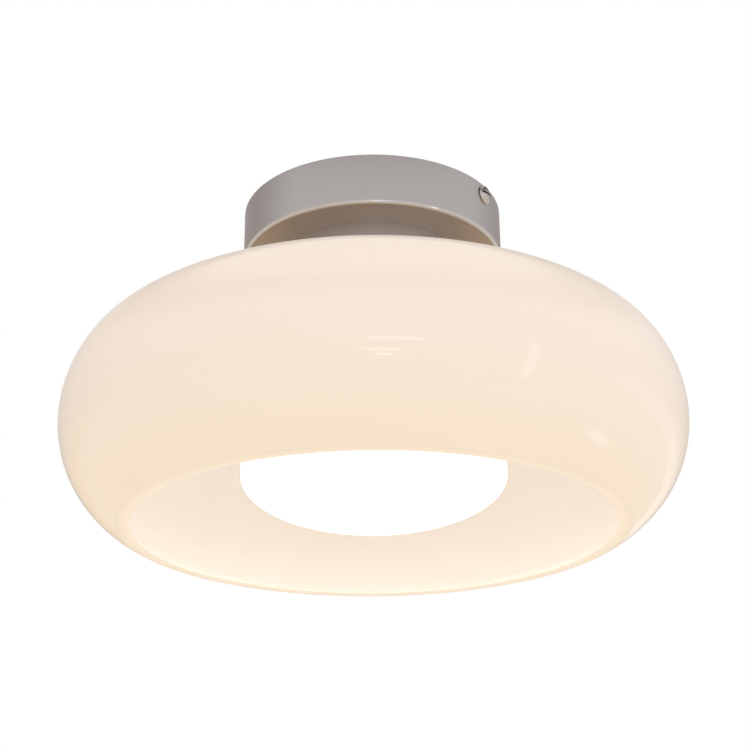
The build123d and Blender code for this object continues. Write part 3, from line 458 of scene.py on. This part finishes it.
# the flat underside gets the shaded copy of the plate: painted shade
canopyCup = turnPiece("canopy_cup", canopyLoop, canopy["steps"], "satinChrome", {
    "Edge Material": finish["turnedChrome"], "Edge Level": canopyFace})


def onRoll(face):      # the outer roll alone
    tiltLow, tiltHigh = canopy["rollTilt"]
    outer = face.center.xy.length > (canopy["radius"] - canopy["corner"]) * mm
    return outer and tiltLow < face.normal.z < tiltHigh and face.center.z > canopyFace


# the outer roll gets the painted highlight
addFinish(canopyCup, "buffedChrome", onRoll)
settle(canopyCup, "fixture", "satin_chrome", "canopy")

# Collar: a spun cup between the canopy and the glass
collar = dict(radius=46.0, top=-26.0, bottom=-61.6, wall=1.2, topEdge=0.05, corner=1.0, lip=6.0, bore=5.15,
              edge=0.1, bend=0.3, steps=160)
collarInner, lipInner = collar["radius"] - collar["wall"], collar["radius"] - collar["lip"]
collarLoop = roundedLoop([
    (collar["bore"], collar["top"], collar["edge"]), (collar["radius"], collar["top"], collar["topEdge"]),
    (collar["radius"], collar["bottom"], collar["corner"]), (lipInner, collar["bottom"], collar["edge"]),
    (lipInner, collar["bottom"] + collar["wall"], collar["edge"]),
    (collarInner, collar["bottom"] + collar["wall"], collar["bend"]),
    (collarInner, collar["top"] - collar["wall"], collar["bend"]),
    (collar["bore"], collar["top"] - collar["wall"], collar["edge"])])
collarTube = turnPiece("collar_tube", collarLoop, collar["steps"], "dullChrome")
settle(collarTube, "fixture", "satin_chrome", "collar")

# Gaskets: rubber rings that bulge a little at their free edges
gaskets = dict(collar_gasket=dict(inner=40.0, outer=45.6, low=-62.8, high=-61.6),
               shade_gasket=dict(inner=21.0, outer=27.5, low=-67.3, high=-65.8))
gasketMould = dict(flat=0.02, cornerSteps=9, steps=128)      # flat is what keeps an edge from a full half round
for node, gasket in gaskets.items():
    bulge = (gasket["high"] - gasket["low"]) / 2 - gasketMould["flat"]
    gasketRing = turnPiece(node + "_ring", roundedLoop([
        (gasket["inner"], gasket["low"], bulge), (gasket["outer"], gasket["low"], bulge),
        (gasket["outer"], gasket["high"], bulge), (gasket["inner"], gasket["high"], bulge)],
        gasketMould["cornerSteps"]), gasketMould["steps"], "siliconeRubber")
    settle(gasketRing, "fixture", "silicone_rubber", node)

# Shade: crown, shoulder and bulge arcs one wall apart, ground flat at the rim
shade = dict(wall=3.0, hole=21.0, holeEdge=0.3, crownFlat=48.0, shoulder=35.5, shoulderAngle=73.6, bulge=55.0,
             bulgeAngle=33.2, rimDrop=48.6, rimRound=0.2, rimRoll=2.2, groundSkin=0.3, crownCount=16,
             shoulderCount=18, bulgeCount=40, cornerSteps=6, steps=256)
shadeLow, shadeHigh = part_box("shade")
shadeRadius = min(-shadeLow.x, -shadeLow.y, shadeHigh.x, shadeHigh.y) / mm
shadeTop, shadeRim = shadeHigh.z / mm, shadeLow.z / mm
bulgeAt = Vector((shadeRadius - shade["bulge"], shadeRim + shade["rimDrop"]))
bulgeLean = math.radians(shade["bulgeAngle"])
shoulderAt = bulgeAt + (shade["bulge"] - shade["shoulder"]) * Vector((math.cos(bulgeLean), math.sin(bulgeLean)))
crownRadius = (shade["shoulder"]
               + (shoulderAt.x - shade["crownFlat"]) / math.cos(math.radians(shade["shoulderAngle"])))
crownAt = Vector((shade["crownFlat"], shadeTop - crownRadius))


def wallArcs(inset):
    rimAngle = math.degrees(math.asin(shade["rimDrop"] / (shade["bulge"] - inset)))
    crownArc = arcPoints(crownAt, crownRadius - inset, 90, shade["shoulderAngle"], shade["crownCount"])
    shoulderArc = arcPoints(
        shoulderAt, shade["shoulder"] - inset, shade["shoulderAngle"], shade["bulgeAngle"], shade["shoulderCount"])
    bulgeArc = arcPoints(bulgeAt, shade["bulge"] - inset, shade["bulgeAngle"], -rimAngle, shade["bulgeCount"])
    return crownArc + shoulderArc[1:] + bulgeArc[1:]


outside, inside = wallArcs(0), wallArcs(shade["wall"])
glassCorners = [
    (shade["hole"], shadeTop, shade["holeEdge"]), *[(x, y, 0) for x, y in outside[:-1]],
    (*outside[-1], shade["rimRoll"]), (*inside[-1], shade["rimRound"]),
    *[(x, y, 0) for x, y in reversed(inside[:-1])], (shade["hole"], shadeTop - shade["wall"], shade["holeEdge"])]
glassLoop = roundedLoop(glassCorners, shade["cornerSteps"])
opalShade = turnPiece("opal_shade", glassLoop, shade["steps"], "opalGlass", {
    "Edge Material": finish["groundGlass"], "Edge Level": (shadeRim + shade["groundSkin"]) * mm})


def onInside(face):      # inside faces look towards the middle of the bulge
    reach = face.center.xy.length
    facing = Vector((face.normal.xy.dot(face.center.xy) / reach, face.normal.z))
    return face.material_index == 0 and facing.dot(bulgeAt * mm - Vector((reach, face.center.z))) > 0


# the inside faces get the lit copy of the glass, with painted lamp light
addFinish(opalShade, "opalInside", onInside)
settle(opalShade, "fixture", "opal_glass", "shade")
print("canopy, collar and shade turned")

# Lamp dome: a shallow opal cap under a straight band, with a spigot
dome = dict(radius=63.5, seat=-131.7, band=8.0, height=21.2, wall=1.6, spigotOuter=61.45, spigotWall=1.4,
            spigotHeight=3.0, edge=0.3, arcCount=48, steps=160)
domeEquator, spigotEnd = dome["seat"] - dome["band"], dome["seat"] + dome["spigotHeight"]
spigotInner = dome["spigotOuter"] - dome["spigotWall"]


def domeArc(radius, height):
    return [(radius * math.sin(a), domeEquator - height * math.cos(a)) for a in quarterTurn(dome["arcCount"])]


domeLoop = (domeArc(dome["radius"], dome["height"])
            + [(dome["radius"], dome["seat"] - dome["edge"]), (dome["radius"] - dome["edge"], dome["seat"]),
               (dome["spigotOuter"], dome["seat"]), (dome["spigotOuter"], spigotEnd), (spigotInner, spigotEnd)]
            + list(reversed(domeArc(spigotInner, dome["height"] - dome["wall"]))))
lampDome = turnPiece("lamp_dome", domeLoop, dome["steps"], "litDiffuser")
settle(lampDome, "lamp", "lit_diffuser", "diffuser")

# Lamp housing: a flared cast shell, with cooling fins round its back
housing = dict(radius=63.5, neck=16.5, neckTop=-86.0, neckBottom=-92.0, neckEdge=0.6, corner=-112.0,
               rimTop=-123.7, wall=2.0, bend=25.0, edge=0.3, lipEdge=0.2, spigot=12.6, spigotWall=1.8,
               spigotTop=-76.0, bendSteps=16, steps=144, fins=24, finThickness=1.6, finReach=59.5)
flareSlope = (housing["rimTop"] - housing["corner"]) / (housing["radius"] - housing["neck"])


def flare(inset, reach):
    neck, drop = housing["neck"] - inset, inset * math.sqrt(1 + flareSlope ** 2)
    return [(neck, housing["neckBottom"], 0),
            (neck, housing["corner"] - inset * flareSlope - drop, housing["bend"] + inset),
            (reach, housing["corner"] + (reach - housing["neck"]) * flareSlope - drop, housing["edge"])]


housingInner, neckInner = housing["radius"] - housing["wall"], housing["neck"] - housing["wall"]
neckUnder, spigotBore = housing["neckTop"] - housing["wall"], housing["spigot"] - housing["spigotWall"]
housingLoop = roundedLoop([
    *flare(0, housing["radius"]), (housing["radius"], dome["seat"], housing["edge"]),
    (housingInner, dome["seat"], housing["lipEdge"]), *reversed(flare(housing["wall"], housingInner)),
    (neckInner, neckUnder, housing["edge"]), (spigotBore, neckUnder, 0),
    (spigotBore, housing["spigotTop"], housing["lipEdge"]),
    (housing["spigot"], housing["spigotTop"], housing["lipEdge"]), (housing["spigot"], housing["neckTop"], 0),
    (housing["neck"], housing["neckTop"], housing["neckEdge"])], housing["bendSteps"])
lampShell = turnPiece("lamp_shell", housingLoop, housing["steps"], "whiteEnamel")
settle(lampShell, "lamp", "white_enamel", "lamp_housing")

# each fin is a plate whose root lies in the middle of the shell's wall
finRoot = roundedLoop([(0, 0, 0), *flare(housing["wall"] / 2, housing["finReach"])], housing["bendSteps"])[1:]
finOutline = finRoot + [(housing["finReach"], housing["rimTop"] + housing["wall"]),
                        (housing["neck"], housing["neckBottom"])]
finMesh = bpy.data.meshes.new("fin")
finHalf, finCount = housing["finThickness"] / 2 * mm, len(finOutline)
finMesh.from_pydata(
    [(x * mm, y, z * mm) for y in (-finHalf, finHalf) for x, z in finOutline], [],
    [tuple(range(finCount)), tuple(reversed(range(finCount, 2 * finCount)))]
    + [((i + 1) % finCount, i, i + finCount, (i + 1) % finCount + finCount) for i in range(finCount)])
lampFins = growMesh("lamp_fins", finMesh, ringTree, {
    "Count": housing["fins"], "Material": finish["whiteEnamel"]})
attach(lampFins, "lamp")

# Tip contact: a low button of solder on the cap's end
tip = dict(radius=4.5, height=1.3, top=-60.5, arcCount=16, steps=64)
tipRound = (tip["radius"] ** 2 + tip["height"] ** 2) / (2 * tip["height"])
tipEdge = 90 - math.degrees(math.asin(tip["radius"] / tipRound))
tipArc = arcPoints((0, tip["top"] - tipRound), tipRound, tipEdge, 90, tip["arcCount"])
tipButton = turnPiece("tip_button", [(0.0, tip["top"] - tip["height"]), *tipArc[:-1], (0.0, tip["top"])],
                      tip["steps"], "solder")
settle(tipButton, "lamp", "solder", "lamp_tip_contact")
print("lamp dome, housing, fins and tip made")

# Side screws: domed heads, slotted
sideScrew = dict(level=-5.4, seat=65.1, headRadius=4.8, headHeight=2.4, headSteps=24, radius=2.0, tip=56.53,
                 tipChamfer=0.4, shankStep=0.1, slotWidth=1.0, slotDepth=1.2, slotTurn=90, wallSkin=0.01,
                 floorSkin=0.05, pitch=0.7, threadDepth=0.35, threadStop=2.0, steps=72)
headTop = sideScrew["seat"] + sideScrew["headHeight"]
headArc = [(sideScrew["headRadius"] * math.cos(a), sideScrew["seat"] + sideScrew["headHeight"] * math.sin(a))
           for a in quarterTurn(sideScrew["headSteps"])]
shankCount = int((sideScrew["seat"] - sideScrew["tip"]) / sideScrew["shankStep"])
shank = [(sideScrew["radius"], sideScrew["seat"] - sideScrew["shankStep"] * i) for i in range(shankCount)]
screwEnd = [(0.0, sideScrew["tip"]), (sideScrew["radius"] - sideScrew["tipChamfer"], sideScrew["tip"])]
screwLoop = headArc + screwEnd + list(reversed(shank))


def inSlot(face):      # the slot's walls and floor
    above = face.center.z > (headTop - sideScrew["slotDepth"] - sideScrew["floorSkin"]) * mm
    return above and abs(face.center.y) < (sideScrew["slotWidth"] / 2 + sideScrew["wallSkin"]) * mm


for side, name in ((1, "right"), (-1, "left")):
    screw = growMesh("side_screw_" + name, wireLoop("screw_profile_" + name, screwLoop), slottedTree, {
        "Steps": sideScrew["steps"], "Material": finish["satinChrome"],
        "Thread Pitch": sideScrew["pitch"] * mm, "Thread Depth": sideScrew["threadDepth"] * mm,
        "Thread Low": sideScrew["tip"] * mm, "Thread High": (sideScrew["seat"] - sideScrew["threadStop"]) * mm,
        "Slot Length": 3 * sideScrew["headRadius"] * mm, "Slot Width": sideScrew["slotWidth"] * mm,
        "Slot Depth": sideScrew["slotDepth"] * mm, "Head Top": headTop * mm})
    # the slot's walls and floor get painted shade
    addFinish(screw, "thinChrome", inSlot)
    screw.data.transform(
        Matrix.Translation((0, 0, sideScrew["level"] * mm)) @ Matrix.Rotation(side * math.pi / 2, 4, "Y")
        @ Matrix.Rotation(math.radians(sideScrew["slotTurn"]), 4, "Z"))
    settle(screw, "canopy_screw_" + name, "satin_chrome", "canopy_screw_" + name)
print("side screws made")

# Threaded nipple and its nut, which hold the collar and the holder to the canopy
nipple = dict(radius=5.0, bore=3.6, top=-18.0, bottom=-36.55, chamfer=0.5, pitch=1.0, depth=0.55,
              threadSkin=0.05, wallStep=0.125, steps=72)
nippleSteps = int((nipple["top"] - nipple["bottom"] - 2 * nipple["chamfer"]) / nipple["wallStep"]) + 1
nippleWall = [(nipple["radius"], nipple["bottom"] + nipple["chamfer"] + i * nipple["wallStep"])
              for i in range(nippleSteps)]
nippleEnd = nipple["radius"] - nipple["chamfer"]
nippleLoop = ([(nipple["bore"], nipple["bottom"]), (nippleEnd, nipple["bottom"])] + nippleWall
              + [(nippleEnd, nipple["top"]), (nipple["bore"], nipple["top"])])
threadedNipple = turnPiece("threaded_nipple", nippleLoop, nipple["steps"], "zincSteel", {
    "Thread Pitch": nipple["pitch"] * mm, "Thread Depth": nipple["depth"] * mm,
    "Thread Radius": (nipple["radius"] - nipple["threadSkin"]) * mm,
    "Thread Low": nipple["bottom"] * mm, "Thread High": nipple["top"] * mm}, sharpAngle["thread"])
settle(threadedNipple, "fixture", "zinc_steel", "nipple")

nut = dict(flats=14.0, bottom=-24.0, top=-20.0, bore=5.15, chamfer=0.7, skin=0.15, spare=1.0, steps=96)
nutCorner, nutShoulder = nut["flats"] / math.sqrt(3), nut["flats"] / 2 - nut["skin"]
nutBlank = nutCorner + nut["skin"]      # turned a little wider than the hexagon that is cut from it
nutLoop = [(nut["bore"], nut["bottom"]), (nutShoulder, nut["bottom"]),
           (nutBlank, nut["bottom"] + nut["chamfer"]), (nutBlank, nut["top"] - nut["chamfer"]),
           (nutShoulder, nut["top"]), (nut["bore"], nut["top"])]
hexNut = growMesh("hex_nut", wireLoop("hex_nut_profile", nutLoop), hexTree, {
    "Steps": nut["steps"], "Material": finish["zincSteel"], "Corner Radius": nutCorner * mm,
    "Height": (nut["top"] - nut["bottom"] + nut["spare"]) * mm, "Middle": (nut["top"] + nut["bottom"]) / 2 * mm})
settle(hexNut, "fixture", "zinc_steel", "nipple_nut")

# Lampholder skirt, threaded for the ring that clamps the glass
skirt = dict(radius=19.5, bore=14.2, mouth=-85.2, chamfer=0.6, flangeLow=-52.2, flangeTop=-50.7, flange=21.75,
             flangeEdge=0.2, top=-42.7, pocket=17.05, seat=-57.7, pitch=2.5, depth=0.8, threadSkin=0.1,
             threadStop=4.0, wallStep=0.25, steps=128)
skirtSteps = int((skirt["flangeLow"] - skirt["mouth"] - skirt["chamfer"]) / skirt["wallStep"])
skirtWall = [(skirt["radius"], skirt["mouth"] + skirt["chamfer"] + i * skirt["wallStep"])
             for i in range(skirtSteps)]
skirtMouth = [(skirt["bore"], skirt["mouth"]), (skirt["radius"] - skirt["chamfer"], skirt["mouth"])]
skirtLoop = skirtMouth + skirtWall + [
    (skirt["radius"], skirt["flangeLow"]), (skirt["flange"] - skirt["flangeEdge"], skirt["flangeLow"]),
    (skirt["flange"], skirt["flangeLow"] + skirt["flangeEdge"]), (skirt["flange"], skirt["flangeTop"]),
    (skirt["radius"], skirt["flangeTop"]), (skirt["radius"], skirt["top"]), (skirt["pocket"], skirt["top"]),
    (skirt["pocket"], skirt["seat"]), (skirt["bore"], skirt["seat"])]
holderSkirt = turnPiece("holder_skirt", skirtLoop, skirt["steps"], "blackThermoset", {
    "Thread Pitch": skirt["pitch"] * mm, "Thread Depth": skirt["depth"] * mm,
    "Thread Radius": (skirt["radius"] - skirt["threadSkin"]) * mm,
    "Thread Low": skirt["mouth"] * mm, "Thread High": (skirt["flangeLow"] - skirt["threadStop"]) * mm},
    sharpAngle["thread"])
settle(holderSkirt, "fixture", "black_thermoset", "lampholder_skirt")
print("nipple, nut and holder skirt threaded")


# The record's slots carry the finishes' names, as in satin_chrome and satinChrome
def slotFinish(slot):
    first, *others = slot.split("_")
    return finish[first + "".join(word.capitalize() for word in others)]


# Pressed and moulded pieces keep the CAD form, with their edges broken
edgeBreak = dict(segments=2, angle=40, flatten=0.5, flatness=0.9999)


def soften(node, body, slot, width, flatAxes):
    source = frame["nodes"][node]
    mesh = source.data.copy()
    mesh.transform(source.matrix_world)
    mesh.materials.clear()
    mesh.materials.append(slotFinish(slot))
    work = bmesh.new()
    work.from_mesh(mesh)
    bmesh.ops.remove_doubles(work, verts=work.verts, dist=meshCare["blankWeld"] * mm)
    bmesh.ops.dissolve_limit(
        work, angle_limit=math.radians(edgeBreak["flatten"]), verts=work.verts, edges=work.edges)
    work.to_mesh(mesh)
    work.free()
    obj = linkObject(node + "_soft", mesh)
    bevel = obj.modifiers.new("edges", "BEVEL")
    bevel.width, bevel.segments = width * mm, edgeBreak["segments"]
    bevel.limit_method, bevel.angle_limit = "ANGLE", math.radians(edgeBreak["angle"])
    bakeModifier(obj, bevel, edgeBreak["angle"])
    for face in obj.data.polygons:      # broad flats stay flat beside their broken edges
        face.use_smooth = max(abs(face.normal[axis]) for axis in flatAxes) < edgeBreak["flatness"]
    settle(obj, body, slot, node)


softPieces = dict(
    ceiling_bracket=dict(body="fixture", slot="zinc_steel", width=0.2, flatAxes=(0, 1, 2)),
    terminal_block=dict(body="fixture", slot="natural_nylon", width=0.3, flatAxes=(0, 1, 2)),
    shade_ring=dict(body="shade_ring", slot="black_thermoset", width=0.3, flatAxes=(2,)),
    lampholder_cap=dict(body="fixture", slot="black_thermoset", width=0.2, flatAxes=(2,)),
    lampholder_insert=dict(body="fixture", slot="porcelain", width=0.2, flatAxes=(2,)))
for node, softPiece in softPieces.items():
    soften(node, **softPiece)
print("edges broken on", len(softPieces), "pieces")

# CAD nodes that stay get their finish from the record's slots
for subpart in frame["record"]["subparts"]:
    for holder in frame["nodes"][subpart["node"]].material_slots:
        holder.material = slotFinish(subpart["material_slot"])
print("CAD nodes finished")

# Studio: a pale floor far below, lit evenly out to its edge
paleFloor = dict(level=-1.1, radius=30.0, sides=96, base="#F4F2EE", shift="#EFEDE8", roughness=(0.6, 0.75),
                 grain=40, evenGlow="#FFF4E8", glowStrength=0.35)      # level and radius in metres
floorMesh = bpy.data.meshes.new("studio_floor")
floorTurns = [turn * i / paleFloor["sides"] for i in range(paleFloor["sides"])]
floorMesh.from_pydata([(paleFloor["radius"] * math.cos(a), paleFloor["radius"] * math.sin(a), paleFloor["level"])
                       for a in floorTurns], [], [tuple(range(paleFloor["sides"]))])
floorMesh.materials.append(buildMaterial("paleFloor", paleFloor))
floor = linkObject("studio_floor", floorMesh)

# Room light: walls brighter on one side, a pale lower half, and a dark ceiling with a skylight, which lights
# the inside of the canopy
room = dict(wallBright="#D2D0D1", wallDim="#A8A3A0", lowBright="#EFECEA", lowDim="#D2C1A6", ceiling="#6A645E",
            skylight="#C8C4C0", wallSide=44, wallFade=(-0.8, 0.2), lowSide=110, lowFade=(-0.55, 0.05),
            ceilingFade=(0.53, 0.72), skylightFade=(0.78, 0.9), horizonFade=(0.24, 0.0), strength=1.1)
world = bpy.data.worlds.new("studio")
bpy.context.scene.world = world
world.use_nodes = True
sky = world.node_tree
sky.nodes.clear()
gaze = addNode(sky, "ShaderNodeTexCoord").outputs["Generated"]
upward = (0, 0, 1)


def sideways(azimuth):
    return math.sin(math.radians(azimuth)), -math.cos(math.radians(azimuth)), 0


# The first colour gives way to the second along a direction, softly between two limits
def blendAlong(way, limits, first, second):
    along = addNode(sky, "ShaderNodeVectorMath", {0: gaze, 1: way}, operation="DOT_PRODUCT")
    share = addNode(sky, "ShaderNodeMapRange", {
        "Value": along.outputs["Value"], "From Min": limits[0], "From Max": limits[1]},
        interpolation_type="SMOOTHSTEP")
    return addNode(sky, "ShaderNodeMix", {
        "Factor": share.outputs[0], 6: first, 7: second}, data_type="RGBA").outputs[2]


walls = blendAlong(sideways(room["wallSide"]), room["wallFade"],
                   hexColour(room["wallDim"]), hexColour(room["wallBright"]))
underCeiling = blendAlong(upward, room["ceilingFade"], walls, hexColour(room["ceiling"]))
upper = blendAlong(upward, room["skylightFade"], underCeiling, hexColour(room["skylight"]))
lower = blendAlong(sideways(room["lowSide"]), room["lowFade"],
                   hexColour(room["lowDim"]), hexColour(room["lowBright"]))
around = addNode(sky, "ShaderNodeBackground", {
    "Color": blendAlong(upward, room["horizonFade"], upper, lower), "Strength": room["strength"]})
behind = addNode(sky, "ShaderNodeBackground", {"Color": (1, 1, 1, 1), "Strength": 1.0})
seen = addNode(sky, "ShaderNodeLightPath").outputs["Is Camera Ray"]
mixed = addNode(sky, "ShaderNodeMixShader", {0: seen, 1: around.outputs[0], 2: behind.outputs[0]})
addNode(sky, "ShaderNodeOutputWorld", {"Surface": mixed.outputs[0]})

# Small windows that shine on the glass: sizes in metres, power in watts, all aimed at the shade's middle
windowColour, windowAim = "#EEF2FF", Vector((0, 0, -0.12))
windows = dict(
    window_front_high=dict(azimuth=39.5, elevation=-5, distance=2.0, width=0.63, height=0.093, power=0.36),
    window_front_low=dict(azimuth=35, elevation=-14, distance=2.0, width=0.48, height=0.067, power=0.2),
    window_front_spot=dict(azimuth=35.4, elevation=-18, distance=2.0, width=0.16, height=0.053, power=0.1),
    window_right=dict(azimuth=85, elevation=-10, distance=2.0, width=0.12, height=0.95, power=0.52),
    window_back_right=dict(azimuth=133, elevation=-33, distance=1.5, width=0.24, height=0.16, power=0.12))
for name, window in windows.items():
    light = bpy.data.lights.new(name, "AREA")
    light.shape = "RECTANGLE"
    light.size, light.size_y, light.energy = window["width"], window["height"], window["power"]
    light.color = hexColour(windowColour)[:3]
    pane = linkObject(name, light)
    bearing, rise = math.radians(window["azimuth"]), math.radians(window["elevation"])
    outwards = Vector((math.sin(bearing) * math.cos(rise), -math.cos(bearing) * math.cos(rise), math.sin(rise)))
    pane.location = windowAim + outwards * window["distance"]
    pane.rotation_euler = outwards.to_track_quat("Z", "Y").to_euler()
    pane.visible_camera = False

# Camera: fitted to the photo; reach and side in metres from the axis, drop from the shade's rim
view = dict(azimuth=32.0, reach=0.694474, side=0.000855, drop=0.207455, pitch=22.516, roll=-0.428, lens=73.405,
            sensor=36.0)
lens = bpy.data.cameras.new("photo_camera")
lens.lens, lens.sensor_width, lens.dof.use_dof = view["lens"], view["sensor"], False
camera = linkObject("photo_camera", lens)
cameraTurn = math.radians(view["azimuth"])
camera.location = (view["reach"] * math.sin(cameraTurn) + view["side"] * math.cos(cameraTurn),
                   -view["reach"] * math.cos(cameraTurn) + view["side"] * math.sin(cameraTurn),
                   shadeRim * mm - view["drop"])
camera.rotation_euler = (
    Matrix.Rotation(cameraTurn, 4, "Z") @ Matrix.Rotation(math.radians(90 + view["pitch"]), 4, "X")
    @ Matrix.Rotation(math.radians(view["roll"]), 4, "Z")).to_euler()
bpy.context.scene.camera = camera
bpy.context.scene.view_settings.view_transform = "Standard"
print("studio and camera set")
